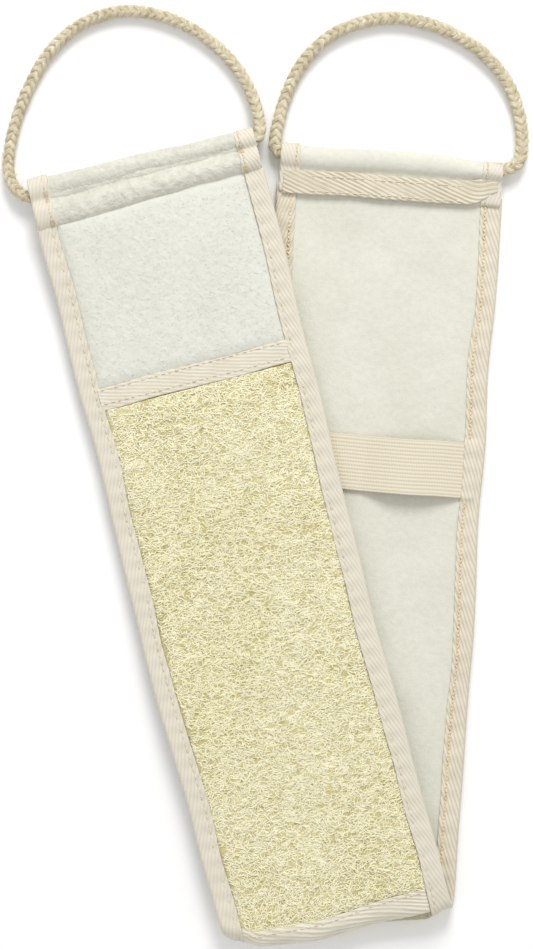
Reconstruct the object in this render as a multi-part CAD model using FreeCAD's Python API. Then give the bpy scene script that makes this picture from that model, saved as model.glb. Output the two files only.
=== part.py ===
"""Loofah back scrubber: one long sewn strap with a rope loop at each end, folded in half and lying flat.

The strap has loofah pads in its middle, terry pads at its ends, a cotton backing, twill tape along its
edges and seams, and an elastic hand strap across the back of the rear half.

Units are millimetres, +Z is up and the floor is z = 0. +Y runs from the fold to the free ends. The origin
is on the floor, at the middle of the footprint without its ropes.

Places on the strap are given as (along, across, height). along is the distance from the strap's own
middle, positive on the front half and negative on the rear half. across is positive on the right. height
is measured from the strap's middle surface, positive towards the loofah face.
"""
import FreeCAD, Part
import math
import os

Vector = FreeCAD.Vector

# ---- how the strap is folded -------------------------------------------------------------------------
FOLD_X = 34.2            # the outermost point of the fold, on the strap's centre line
FOLD_Y = -191.5
FOLD_TURN = 5.2          # degrees from +X to the fold line
LEG_SPLAY = 9.2          # degrees between each half and the fold line's normal
FOLD_SHIFT = -3.4        # where the fold crosses the strap's centre line, as a distance along it
BEND_RADIUS = 5.0        # of the strap's middle surface round the fold
FRONT_ROLL = 0.024       # how much the front half drops towards its left edge
FRONT_PITCH = 0.004      # how much it drops towards its free end

# ---- the strap ---------------------------------------------------------------------------------------
HALF_LENGTH = 382.0      # from the strap's middle to either end
FOLD_HALF_WIDTH = 55.6
FRONT_HALF_WIDTH = 57.0  # at the front half's free end
REAR_HALF_WIDTH = 54.8   # at the rear half's free end
LOOFAH_TOP = 3.0         # heights from the strap's middle surface
TERRY_TOP = 2.6
SEAM_TOP = 1.1           # pads are sewn down to this height under their tapes
BACKING_TOP = -2.0
BACKING_BOTTOM = -3.0

# ---- tapes -------------------------------------------------------------------------------------------
TAPE = 0.8               # thickness of the folded twill tape
LIP = 10.0               # how far the edge binding reaches in from the strap's edge
CENTRE_TAPE = 11.0       # width of the tape at the strap's middle
CROSS_TAPE = 11.0
CROSS_TAPE_AT = 274.0    # the seam between loofah and terry, from the strap's middle
HEM_START = 359.8
HEM_TAPE_END = 371.5

# ---- hem and handle rope -----------------------------------------------------------------------------
TUNNEL_AT = 376.5        # the rope tunnel's axis, from the strap's middle
TUNNEL_HEIGHT = -2.6
TUNNEL_RADIUS = 4.3
ROLL_RADIUS = 5.4
FLAP_BOTTOM = -4.2       # the face of the turned-over end, on the back
ROPE_DIAMETER = 7.0
HEM_INSET = 2.5          # how far the hem stops short of the strap's edges

# Each rope's route, from its end sewn into the hem's left mouth, round the loop on the floor, to its end in
# the right mouth. The first two and last two points are on the tunnel's axis.
FRONT_ROUTE = [
    (-104.3, 165.2, 7.8), (-116.9, 162.0, 7.5), (-126.2, 171.6, 5.6), (-127.2, 182.3, 3.8),
    (-124.7, 197.9, 3.6), (-117.9, 217.4, 3.6), (-106.2, 237.9, 3.6), (-88.7, 252.0, 3.6),
    (-66.8, 257.3, 3.6), (-42.9, 251.0, 3.6), (-22.5, 237.4, 3.6), (-9.8, 220.3, 4.2),
    (-4.5, 205.7, 6.8), (-3.0, 191.2, 10.3), (-12.6, 188.7, 10.1),
]
REAR_ROUTE = [
    (15.7, 183.9, 5.6), (2.1, 184.9, 5.6), (4.1, 197.4, 4.6), (8.2, 214.0, 3.6),
    (16.5, 231.5, 3.6), (33.0, 246.6, 3.6), (58.4, 253.7, 3.6), (82.2, 249.1, 3.6),
    (102.2, 238.3, 3.6), (115.8, 224.2, 3.6), (122.7, 207.7, 3.6), (124.8, 191.6, 4.2),
    (122.1, 176.5, 5.6), (104.1, 177.8, 5.6),
]

# ---- elastic hand strap ------------------------------------------------------------------------------
ELASTIC_AT = -230.0      # its centre line, along the strap
ELASTIC_WIDTH = 27.0
ELASTIC = 1.3            # its thickness
ARCH_FROM = -2.0         # across the strap, where it lifts off the backing
ARCH_TO = 44.8
ARCH_RISE = 5.8
ELASTIC_LEFT = -44.8     # its left end. Its right end is the arch's

CLEAR = 0.3              # between solids that only lie against each other
BEND_STEPS = 12          # straight facets round the bend

splay = math.radians(LEG_SPLAY)
turn = math.radians(FOLD_TURN)
fold_line = Vector(math.cos(turn), math.sin(turn), 0)
fold_normal = Vector(-math.sin(turn), math.cos(turn), 0)
half_bend = math.pi * BEND_RADIUS / 2
bend_height = BEND_RADIUS + LOOFAH_TOP
bend_centre = Vector(FOLD_X, FOLD_Y, bend_height) + fold_normal * bend_height


def half_width(along):
    """Half the strap's width, which changes a little towards each free end."""
    end = FRONT_HALF_WIDTH if along > 0 else REAR_HALF_WIDTH
    return FOLD_HALF_WIDTH + (end - FOLD_HALF_WIDTH) * abs(along) / HALF_LENGTH


def unrolled(along, across):
    """(distance from the fold line, distance along it) of a place on the strap, laid flat."""
    on = along - FOLD_SHIFT
    return (on * math.cos(splay) + across * math.sin(splay),
            across * math.cos(splay) - on * math.sin(splay))


def on_strap(away, beside):
    """(along, across) of a place given by its distance from the fold line and along it."""
    return (FOLD_SHIFT + away * math.cos(splay) - beside * math.sin(splay),
            away * math.sin(splay) + beside * math.cos(splay))


def placed(side, along, across, height):
    """Where a place on one flat half is. side is 1 on the front half and -1 on the rear half."""
    away, beside = unrolled(along, across)
    run = abs(away) - half_bend
    drop = (FRONT_PITCH * run - FRONT_ROLL * across) if side > 0 else 0.0
    up = side * (BEND_RADIUS + height) - drop
    return bend_centre + fold_normal * run + fold_line * beside + Vector(0, 0, up)


def bent(away, beside, height):
    """Where a place on the bend is."""
    angle = away / BEND_RADIUS
    out = BEND_RADIUS + height
    return (bend_centre + fold_line * beside - fold_normal * (out * math.cos(angle))
            + Vector(0, 0, out * math.sin(angle)))


def around(away, beside, height):
    """Where a place on the bend, or on either half just beyond it, is."""
    if abs(away) <= half_bend:
        return bent(away, beside, height)
    along, across = on_strap(away, beside)
    return placed(1 if away > 0 else -1, along, across, height)


def cut_start(side, across):
    """How far along the strap a flat half starts, just clear of the bend."""
    return FOLD_SHIFT + (side * (half_bend + CLEAR) - across * math.sin(splay)) / math.cos(splay)


def prism(side, outline, low, high):
    """A flat solid on one half, from its outline of (along, across) and its two heights."""
    loops = []
    for height in (low, high):
        corners = [placed(side, along, across, height) for along, across in outline]
        loops.append(Part.makePolygon(corners + corners[:1]))
    return Part.makeLoft(loops, True, True)


def bend_outline(side, inset, seam=None):
    """The outline of a plate's end beside the bend. It also stays beyond the cross line at seam."""
    width = FOLD_HALF_WIDTH - inset
    left, right = cut_start(side, -width), cut_start(side, width)
    if seam is None:
        return [(left, -width), (right, width)]
    stop = side * seam
    turn_across = width * (2 * (stop - left) / (right - left) - 1)
    if side > 0:
        return [(left, -width), (stop, turn_across), (stop, width)]
    return [(stop, -width), (stop, turn_across), (right, width)]


def plate(side, start, end, low, high, inset=0.0, seam=None):
    """A plate over the strap's width less inset. start is None where it runs up to the bend."""
    if start is None:
        outline = bend_outline(side, inset, seam)
    else:
        width = half_width(side * start) - inset
        outline = [(side * start, -width), (side * start, width)]
    for across_sign in (1, -1):
        outline.append((side * end, across_sign * (half_width(side * end) - inset)))
    return prism(side, outline, low, high)


def edge_bar(side, edge, start, end, outer, inner, low, high):
    """A bar along one edge of the strap, between two distances in from that edge."""
    outline = []
    for distance, inset in ((start, outer), (start, inner), (end, inner), (end, outer)):
        across = edge * (half_width(side * (distance or 0)) - inset)
        along = cut_start(side, across) if distance is None else side * distance
        outline.append((along, across))
    return prism(side, outline, low, high)


def fused(first, *others):
    return first.multiFuse(list(others)).removeSplitter()


def pad(side, start, end, top, seam_start, seam_end):
    """A pad: its full thickness between the tapes, and a thin edge under them."""
    thick = plate(side, start, end, BACKING_TOP, top, LIP + CLEAR, CENTRE_TAPE / 2 + CLEAR)
    thin = plate(side, seam_start, seam_end, BACKING_TOP, SEAM_TOP, 2 * TAPE)
    return fused(thick, thin)


def binding(side, edge):
    """Twill tape folded over one edge: two lips and the wall between them."""
    low = BACKING_BOTTOM - TAPE
    high = SEAM_TOP + 0.1 + TAPE
    end = HEM_START - CLEAR
    face_lip = edge_bar(side, edge, None, end, 0, LIP, high - TAPE, high)
    back_lip = edge_bar(side, edge, None, end, 0, LIP, low, BACKING_BOTTOM)
    wall = edge_bar(side, edge, None, end, 0, TAPE, low, high)
    return fused(face_lip, back_lip, wall)


def cross_tape(side):
    """The tape over the seam between loofah and terry."""
    start = CROSS_TAPE_AT - CROSS_TAPE / 2
    end = CROSS_TAPE_AT + CROSS_TAPE / 2
    low = SEAM_TOP + 0.1
    return plate(side, start, end, low, low + TAPE, LIP + CLEAR)


def across_prism(side, profile):
    """A solid right across the strap, from a closed profile wire drawn at its left edge."""
    width = half_width(side * TUNNEL_AT) - HEM_INSET
    left = placed(side, side * TUNNEL_AT, -width, 0)
    right = placed(side, side * TUNNEL_AT, width, 0)
    return Part.Face(profile).extrude(right - left)


def across_box(side, start, end, low, high):
    """A box right across the strap, with its ends square to the tunnel."""
    width = half_width(side * TUNNEL_AT) - HEM_INSET
    corners = []
    for along, height in ((start, low), (end, low), (end, high), (start, high)):
        corners.append(placed(side, side * along, -width, height))
    return across_prism(side, Part.makePolygon(corners + corners[:1]))


def tunnel_cylinder(side, radius, overrun=0.0):
    width = half_width(side * TUNNEL_AT) - HEM_INSET + overrun
    left = placed(side, side * TUNNEL_AT, -width, TUNNEL_HEIGHT)
    right = placed(side, side * TUNNEL_AT, width, TUNNEL_HEIGHT)
    return Part.makeCylinder(radius, (right - left).Length, left, right - left)


def hem(side):
    """The end turned over to the back: a roll round the rope, terry in front of it and a flap behind."""
    front = across_box(side, HEM_START, TUNNEL_AT, BACKING_TOP + 0.05, TERRY_TOP)
    flap = across_box(side, HEM_START, TUNNEL_AT, FLAP_BOTTOM, BACKING_BOTTOM - 0.05)
    roll = tunnel_cylinder(side, ROLL_RADIUS)
    return fused(roll, front, flap).cut(tunnel_cylinder(side, TUNNEL_RADIUS, 5.0))


def hem_tape(side):
    """The tape over the flap's raw edge, on the back."""
    return across_box(side, HEM_START - 1.0, HEM_TAPE_END - 1.0, FLAP_BOTTOM - 0.1 - TAPE, FLAP_BOTTOM - 0.1)


def elastic():
    """A band sewn down along its left part, then arched over the hand's way through."""
    half = ELASTIC_WIDTH / 2
    under = BACKING_BOTTOM - 0.05
    middle = (ARCH_FROM + ARCH_TO) / 2
    left, right = ELASTIC_LEFT, ARCH_TO

    def profile(along):
        def at(across, height):
            return placed(-1, along, across, height)
        lower = Part.Arc(at(ARCH_FROM, under), at(middle, under - ARCH_RISE), at(right, under))
        upper = Part.Arc(at(right, under - ELASTIC), at(middle, under - ARCH_RISE - ELASTIC),
                         at(ARCH_FROM, under - ELASTIC))
        edges = [
            Part.LineSegment(at(left, under), at(ARCH_FROM, under)),
            lower,
            Part.LineSegment(at(right, under), at(right, under - ELASTIC)),
            upper,
            Part.LineSegment(at(ARCH_FROM, under - ELASTIC), at(left, under - ELASTIC)),
            Part.LineSegment(at(left, under - ELASTIC), at(left, under)),
        ]
        return Part.Wire([edge.toShape() for edge in edges])

    near = placed(-1, ELASTIC_AT + half, 0, 0)
    far = placed(-1, ELASTIC_AT - half, 0, 0)
    return Part.Face(profile(ELASTIC_AT + half)).extrude(far - near)


def wrapped(start, end, steps, reach, low, high):
    """A strip round the bend. reach gives its two ends along the fold line at a distance from it.

    A strip that runs on past the bend has a section where the front half's slight tilt begins.
    """
    loops = []
    stations = [start + (end - start) * step / steps for step in range(steps + 1)]
    if end > half_bend + CLEAR:
        stations.append(half_bend + CLEAR)
    for away in sorted(stations):
        first, last = reach(away)
        corners = [around(away, beside, height)
                   for beside, height in ((first, low), (last, low), (last, high), (first, high))]
        loops.append(Part.makePolygon(corners + corners[:1]))
    return Part.makeLoft(loops, True, True)


def beside_edge(away, across):
    """How far along the fold line the strap's line at across is, at a distance from the fold."""
    return (across - away * math.sin(splay)) / math.cos(splay)


def beside_seam(away, along):
    """How far along the fold line the strap's cross line at along is, at a distance from the fold."""
    return (FOLD_SHIFT + away * math.cos(splay) - along) / math.sin(splay)


def between_edges(outer, inner, edge):
    """The reach of a strip between two distances in from one edge of the strap."""
    def reach(away):
        return sorted(beside_edge(away, edge * (FOLD_HALF_WIDTH - inset)) for inset in (outer, inner))
    return reach


def across_strap(inset, low_along=None, high_along=None):
    """The reach of a strip over the strap's width less inset, between two cross lines if given."""
    def reach(away):
        first = beside_edge(away, inset - FOLD_HALF_WIDTH)
        last = beside_edge(away, FOLD_HALF_WIDTH - inset)
        if high_along is not None:
            first = max(first, beside_seam(away, high_along))
        if low_along is not None:
            last = min(last, beside_seam(away, low_along))
        return first, last
    return reach


def away_where(along, across):
    return unrolled(along, across)[0]


def fold_binding(edge):
    """The edge binding where it goes round the bend."""
    low = BACKING_BOTTOM - TAPE
    high = SEAM_TOP + 0.1 + TAPE
    lips = between_edges(0, LIP, edge)
    face_lip = wrapped(-half_bend, half_bend, BEND_STEPS, lips, high - TAPE, high)
    back_lip = wrapped(-half_bend, half_bend, BEND_STEPS, lips, low, BACKING_BOTTOM)
    wall = wrapped(-half_bend, half_bend, BEND_STEPS, between_edges(0, TAPE, edge), low, high)
    return fused(face_lip, back_lip, wall)


def fold_backing():
    """The backing round the inside of the bend, with the pads' edges that are sewn flat against it."""
    return wrapped(-half_bend, half_bend, BEND_STEPS, across_strap(2 * TAPE), BACKING_BOTTOM, SEAM_TOP)


def centre_tape():
    """The tape over the pads' meeting ends. It crosses the bend at a slant, as the strap does."""
    inset = LIP + CLEAR
    width = FOLD_HALF_WIDTH - inset
    half = CENTRE_TAPE / 2
    start = away_where(-half, -width) + CLEAR
    end = away_where(half, width) - CLEAR
    low = SEAM_TOP + 0.1
    return wrapped(start, end, 2 * BEND_STEPS, across_strap(inset, -half, half), low, low + TAPE)


def front_loofah_fold():
    """The front pad's corner that lies on the bend, left of the slanted centre tape."""
    inset = LIP + CLEAR
    seam = CENTRE_TAPE / 2 + CLEAR
    start = away_where(seam, inset - FOLD_HALF_WIDTH) + CLEAR
    return wrapped(start, half_bend, BEND_STEPS, across_strap(inset, low_along=seam), SEAM_TOP + 0.1,
                   LOOFAH_TOP)


def rear_loofah_fold():
    """The rear pad's end that lies on the bend, right of the centre tape."""
    inset = LIP + CLEAR
    seam = -CENTRE_TAPE / 2 - CLEAR
    end = min(half_bend, away_where(seam, FOLD_HALF_WIDTH - inset) - CLEAR)
    return wrapped(-half_bend, end, BEND_STEPS, across_strap(inset, high_along=seam), SEAM_TOP + 0.1,
                   LOOFAH_TOP)


def rope(route):
    """A round rope along a route's straight runs, with a tangent arc at each corner."""
    points = [Vector(*point) for point in route]
    pieces = []
    radii = []
    here = points[0]
    for before, corner, after in zip(points, points[1:], points[2:]):
        come = (corner - before).normalize()
        go = (after - corner).normalize()
        half_turn = come.getAngle(go) / 2
        shorter = min((corner - before).Length, (after - corner).Length)
        back = 0.45 * shorter
        radius = back / math.tan(half_turn)
        start = corner - come * back
        end = corner + go * back
        inward = (go - come).normalize()
        middle = corner + inward * (radius / math.cos(half_turn) - radius)
        pieces.append(Part.LineSegment(here, start).toShape())
        pieces.append(Part.Arc(start, middle, end).toShape())
        radii.append(radius)
        here = end
    pieces.append(Part.LineSegment(here, points[-1]).toShape())
    path = Part.Wire(pieces)
    section = Part.Wire(Part.makeCircle(ROPE_DIAMETER / 2, points[0], points[1] - points[0]))
    tube = path.makePipeShell([section], True, False)
    expected = path.Length * math.pi * ROPE_DIAMETER ** 2 / 4
    print("rope length %.1f  bend radii %s" % (path.Length, [round(radius, 1) for radius in radii]))
    print("rope volume over section times length %.4f" % (tube.Volume / expected))
    return tube


def export(name, shape):
    if not shape.isValid() or shape.Volume <= 0:
        raise RuntimeError(name + " is not a valid solid")
    shape.exportStep("parts/" + name + ".step")
    print(f"{name:24s} solids {len(shape.Solids)}  volume {shape.Volume:10.1f}")


os.makedirs("parts", exist_ok=True)
for name, side in (("front", 1), ("rear", -1)):
    export(name + "_loofah_pad", pad(side, None, CROSS_TAPE_AT - CROSS_TAPE / 2 - CLEAR, LOOFAH_TOP,
                                     None, CROSS_TAPE_AT - CLEAR / 2))
    export(name + "_terry_pad", pad(side, CROSS_TAPE_AT + CROSS_TAPE / 2 + CLEAR, HEM_START - CLEAR,
                                    TERRY_TOP, CROSS_TAPE_AT + CLEAR / 2, HEM_START - CLEAR))
    export(name + "_backing", plate(side, None, TUNNEL_AT - ROLL_RADIUS - CLEAR, BACKING_BOTTOM,
                                    BACKING_TOP, 2 * TAPE))
    export(name + "_left_binding", binding(side, -1))
    export(name + "_right_binding", binding(side, 1))
    export(name + "_cross_tape", cross_tape(side))
    export(name + "_hem", hem(side))
    export(name + "_hem_tape", hem_tape(side))
export("fold_left_binding", fold_binding(-1))
export("fold_right_binding", fold_binding(1))
export("fold_backing", fold_backing())
export("front_loofah_fold", front_loofah_fold())
export("rear_loofah_fold", rear_loofah_fold())
export("centre_tape", centre_tape())
export("elastic_hand_strap", elastic())
export("front_handle_rope", rope(FRONT_ROUTE))
export("rear_handle_rope", rope(REAR_ROUTE))
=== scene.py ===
"""Looks of the loofah back scrubber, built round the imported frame.

Lengths in the tables and functions below are in millimetres, and only the finished vertices are in metres.
A place on the strap is (along, across, height): along is the distance from the strap's middle, positive on
the front half; across is positive on the right; height is measured from the strap's middle surface,
positive towards the loofah face.
"""
import math

import bpy
import numpy as np
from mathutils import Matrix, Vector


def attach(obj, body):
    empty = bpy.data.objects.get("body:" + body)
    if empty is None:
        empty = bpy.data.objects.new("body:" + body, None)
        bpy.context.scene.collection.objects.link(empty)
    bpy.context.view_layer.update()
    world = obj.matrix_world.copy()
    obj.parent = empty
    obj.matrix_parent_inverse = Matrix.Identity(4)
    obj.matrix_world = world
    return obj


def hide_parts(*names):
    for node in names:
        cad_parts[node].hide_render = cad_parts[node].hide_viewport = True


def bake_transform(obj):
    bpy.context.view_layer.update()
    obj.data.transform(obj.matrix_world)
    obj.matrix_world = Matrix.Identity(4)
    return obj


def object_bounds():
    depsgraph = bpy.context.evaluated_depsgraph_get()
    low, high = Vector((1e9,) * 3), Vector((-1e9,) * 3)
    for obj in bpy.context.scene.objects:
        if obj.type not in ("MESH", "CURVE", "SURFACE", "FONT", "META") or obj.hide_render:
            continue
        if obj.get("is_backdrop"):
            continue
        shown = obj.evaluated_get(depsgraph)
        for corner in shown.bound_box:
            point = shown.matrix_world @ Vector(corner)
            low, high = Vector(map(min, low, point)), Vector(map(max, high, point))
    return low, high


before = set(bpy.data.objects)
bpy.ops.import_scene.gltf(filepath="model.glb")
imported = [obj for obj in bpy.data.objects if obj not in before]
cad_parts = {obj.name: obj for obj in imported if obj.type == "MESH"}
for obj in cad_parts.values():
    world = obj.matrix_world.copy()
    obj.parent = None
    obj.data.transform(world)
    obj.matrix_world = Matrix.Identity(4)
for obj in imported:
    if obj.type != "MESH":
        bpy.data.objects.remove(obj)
cad_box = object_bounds()

MM = 0.001

# ---- how the strap is folded, as in part.py ----
FOLD = (34.2, -191.5)            # a point of the bend's outermost line, from above
FOLD_TURN = math.radians(5.2)    # the fold line's slant
SPLAY = math.radians(9.2)        # how far each half turns from square to the fold line
FOLD_SHIFT = -3.4                # where the fold line crosses the strap's middle line
BEND_RADIUS = 5.0
FRONT_ROLL = 0.024               # the front half rises to its right by this share
FRONT_PITCH = 0.004              # and sinks towards its end by this one
LOOFAH_TOP = 3.0
HALF_BEND = math.pi * BEND_RADIUS / 2
BEND_HEIGHT = BEND_RADIUS + LOOFAH_TOP
FOLD_LINE = np.array([math.cos(FOLD_TURN), math.sin(FOLD_TURN), 0.0])
FOLD_NORMAL = np.array([-math.sin(FOLD_TURN), math.cos(FOLD_TURN), 0.0])
BEND_CENTRE = np.array([FOLD[0], FOLD[1], BEND_HEIGHT]) + FOLD_NORMAL * BEND_HEIGHT
FRONT_SAG = 2.6                  # how far the front half sags where it has no support
FOLD_BULGE = 6.6                 # how far the fold swells out at its left
FOLD_CORNER = 3.4                # how far the fold's two corners are drawn in

# ---- the strap and what is sewn on it ----
HALF_LENGTH = 382.0
FOLD_HALF_WIDTH = 55.6
END_HALF_WIDTH = {1: 57.0, -1: 54.8}
TERRY_TOP = 2.6
SEAM_TOP = 0.9                   # the height of the pads' sewn-down rims
BACK = -3.0
TAPE = 0.8
LIP = 10.0                       # how far in the edge bindings reach
CENTRE_TAPE = 11.0
CROSS_TAPE = 11.0
CROSS_TAPE_AT = 274.0
HEM_START = 359.8
HEM_TAPE = (358.8, 370.5)
HEM_RADIUS = 5.4
TUNNEL_AT = 376.5
TUNNEL_HEIGHT = -2.6
TUNNEL_RADIUS = 4.25
ELASTIC_AT = -230.0
ELASTIC_WIDTH = 27.0
ELASTIC = 1.3
ELASTIC_PITCH = 1.8
ARCH = (-2.0, 44.8)              # where the elastic's arch starts and ends
ARCH_RISE = 5.8
ROPE_SIDES = 16
BRAID = 15.5                     # the length of one turn of the braid
TAPE_PITCH = 1.7
STITCH_PITCH = 3.4
STITCH_INSET = 7.6               # the edge seam's distance from the strap's edge
STITCH_RADIUS = 0.27
LOOFAH_FIBRES = {1: 23500, -1: 4000}
TERRY_LOOPS = {1: 3600, -1: 2000}
PAD_END = CROSS_TAPE_AT - CROSS_TAPE / 2 + 0.4
TERRY_START = CROSS_TAPE_AT + CROSS_TAPE / 2 - 0.4
HALVES = (("front", 1), ("rear", -1))
EDGES = (("left", -1), ("right", 1))

# ---- the ropes' routes, in millimetres in the frame ----
FRONT_ROUTE = [
    (-104.3, 165.2, 7.8), (-116.9, 162.0, 7.5), (-126.2, 171.6, 5.6), (-127.2, 182.3, 3.8),
    (-124.7, 197.9, 3.6), (-117.9, 217.4, 3.6), (-106.2, 237.9, 3.6), (-88.7, 252.0, 3.6),
    (-66.8, 257.3, 3.6), (-42.9, 251.0, 3.6), (-22.5, 237.4, 3.6), (-9.8, 220.3, 4.2),
    (-4.5, 205.7, 6.8), (-3.0, 191.2, 10.3), (-12.6, 188.7, 10.1),
]
REAR_ROUTE = [
    (15.7, 183.9, 5.6), (2.1, 184.9, 5.6), (4.1, 197.4, 4.6), (8.2, 214.0, 3.6),
    (16.5, 231.5, 3.6), (33.0, 246.6, 3.6), (58.4, 253.7, 3.6), (82.2, 249.1, 3.6),
    (102.2, 238.3, 3.6), (115.8, 224.2, 3.6), (122.7, 207.7, 3.6), (124.8, 191.6, 4.2),
    (122.1, 176.5, 5.6), (104.1, 177.8, 5.6),
]


# ---- small helpers ----
def smooth(x):
    """0 below 0, 1 above 1 and a smooth step between."""
    x = np.clip(x, 0.0, 1.0)
    return x * x * (3 - 2 * x)


def noise(x, y, cell, seed):
    """Smooth random values from about -1 to 1, in cells of the given size."""
    table = np.random.default_rng(seed).uniform(-1, 1, (97, 97))
    x, y = np.broadcast_arrays(np.asarray(x, float) / cell, np.asarray(y, float) / cell)
    i, j = np.floor(x).astype(int), np.floor(y).astype(int)
    u, v = smooth(x - i), smooth(y - j)
    corner = lambda di, dj: table[(i + di) % 97, (j + dj) % 97]
    near = corner(0, 0) * (1 - u) + corner(1, 0) * u
    far = corner(0, 1) * (1 - u) + corner(1, 1) * u
    return near * (1 - v) + far * v


def unit(vectors):
    """The vectors at length one."""
    return vectors / (np.linalg.norm(vectors, axis=-1, keepdims=True) + 1e-12)


def pairs(first, second):
    """Two arrays, broadcast together, as pairs along a new last axis."""
    return np.stack(np.broadcast_arrays(first, second), -1)


def half_width(along):
    """Half the strap's width, which changes a little towards each end."""
    along = np.asarray(along, float)
    end = np.where(along > 0, END_HALF_WIDTH[1], END_HALF_WIDTH[-1])
    return FOLD_HALF_WIDTH + (end - FOLD_HALF_WIDTH) * np.abs(along) / HALF_LENGTH


def sewn_waver(along):
    """How far the strap wanders sideways, as hand-guided sewing does."""
    bow = np.where(along > 0, -1.5 * np.sin(np.clip(along / 330, 0, 1) * math.pi), 0.0)
    return bow + 0.35 * np.sin(along / 31.0) + 0.25 * np.sin(along / 13.0 + 1.0)


def away_of(along, across):
    """Distance from the fold line, along the cloth. Positive on the front half."""
    return (along - FOLD_SHIFT) * math.cos(SPLAY) + across * math.sin(SPLAY)


def strap(along, across, height):
    """Points in the row frame, in metres, of places on the folded strap."""
    along, across, height = np.broadcast_arrays(*[np.asarray(a, float) for a in (along, across, height)])
    away = away_of(along, across)
    beside = across * math.cos(SPLAY) - (along - FOLD_SHIFT) * math.sin(SPLAY)
    beside = beside + sewn_waver(along) * smooth(np.abs(away) / 40)
    angle = np.clip(away / BEND_RADIUS, -math.pi / 2, math.pi / 2)
    run = np.maximum(np.abs(away) - HALF_BEND, 0)
    out = BEND_RADIUS + height
    lies = smooth(away / (HALF_BEND + 14))
    sag = FRONT_SAG * smooth((run - 80) / 120) * smooth((345 - run) / 60) * smooth((15 - across) / 60)
    drop = (FRONT_PITCH * run - FRONT_ROLL * across + sag) * lies
    up = out * np.sin(angle) - drop
    bulge = FOLD_BULGE * smooth((26 - beside) / 44) * (1 - 0.6 * smooth((-beside - 38) / 12))
    corner = FOLD_CORNER * smooth((np.abs(beside + 2) - 47) / 9)
    layer = 0.15 + 0.85 * np.clip((height - BACK) / (LOOFAH_TOP - 1 - BACK), 0, 1)
    flat = run - out * np.cos(angle) - (bulge - corner) * layer * (1 - smooth(np.abs(away) / 34))
    points = (BEND_CENTRE + flat[..., None] * FOLD_NORMAL + beside[..., None] * FOLD_LINE
              + up[..., None] * np.array([0.0, 0.0, 1.0]))
    points[..., 2] = np.maximum(points[..., 2], 0.05)
    return points * MM


def make_mesh(name, points, faces, cloth, material, slots=None):
    """An object from points in metres and an array of quads. cloth gives each point's place on the cloth
    in millimetres, for the weave. material is one material, or a list that slots picks from."""
    points, faces = np.asarray(points, float).reshape(-1, 3), np.asarray(faces, int).reshape(-1, 4)
    mesh = bpy.data.meshes.new(name)
    mesh.vertices.add(len(points))
    mesh.vertices.foreach_set("co", points.ravel())
    mesh.loops.add(faces.size)
    mesh.loops.foreach_set("vertex_index", faces.ravel())
    mesh.polygons.add(len(faces))
    mesh.polygons.foreach_set("loop_start", np.arange(0, faces.size, 4))
    mesh.polygons.foreach_set("loop_total", np.full(len(faces), 4))
    mesh.polygons.foreach_set("use_smooth", np.ones(len(faces), bool))
    if slots is not None:
        mesh.polygons.foreach_set("material_index", np.asarray(slots, int).ravel())
    if cloth is not None:
        layer = mesh.uv_layers.new(name="cloth")
        layer.data.foreach_set("uv", np.asarray(cloth, float).reshape(-1, 2)[faces.ravel()].ravel())
    mesh.update(calc_edges=True)
    mesh.validate()
    made = bpy.data.objects.new(name, mesh)
    bpy.context.scene.collection.objects.link(made)
    for each in material if isinstance(material, list) else [material]:
        mesh.materials.append(each)
    return made


def grid_faces(rows, columns, wrap_rows=False, wrap_columns=False):
    """Quads of a grid of points numbered row by row."""
    r, c = np.meshgrid(np.arange(rows - (not wrap_rows)), np.arange(columns - (not wrap_columns)),
                       indexing="ij")
    r2, c2 = (r + 1) % rows, (c + 1) % columns
    return np.stack([r * columns + c, r * columns + c2, r2 * columns + c2, r2 * columns + c],
                    -1).reshape(-1, 4)


def tubes(centres, radius, sides, uprights):
    """Points and quads of many thin tubes. centres is (tubes, points, 3), in metres. radius is in metres,
    and so is a second one across the first if it is a pair. Ends are pulled to a point."""
    count, length = centres.shape[:2]
    tangent = unit(np.gradient(centres, axis=1))
    side = unit(np.cross(tangent, uprights))
    up = np.cross(side, tangent)
    wide, high = radius if isinstance(radius, tuple) else (radius, radius)
    angle = np.arange(sides) / sides * 2 * math.pi
    taper = np.ones(length)
    taper[[0, -1]] = 0.15
    ring = (side[:, :, None] * np.cos(angle)[:, None] * np.reshape(wide, (-1, 1, 1, 1))
            + up[:, :, None] * np.sin(angle)[:, None] * np.reshape(high, (-1, 1, 1, 1)))
    points = centres[:, :, None] + ring * taper[None, :, None, None]
    one = grid_faces(length, sides, wrap_columns=True)
    faces = one[None] + (np.arange(count) * length * sides)[:, None, None]
    return points.reshape(-1, 3), faces.reshape(-1, 4)


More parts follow.
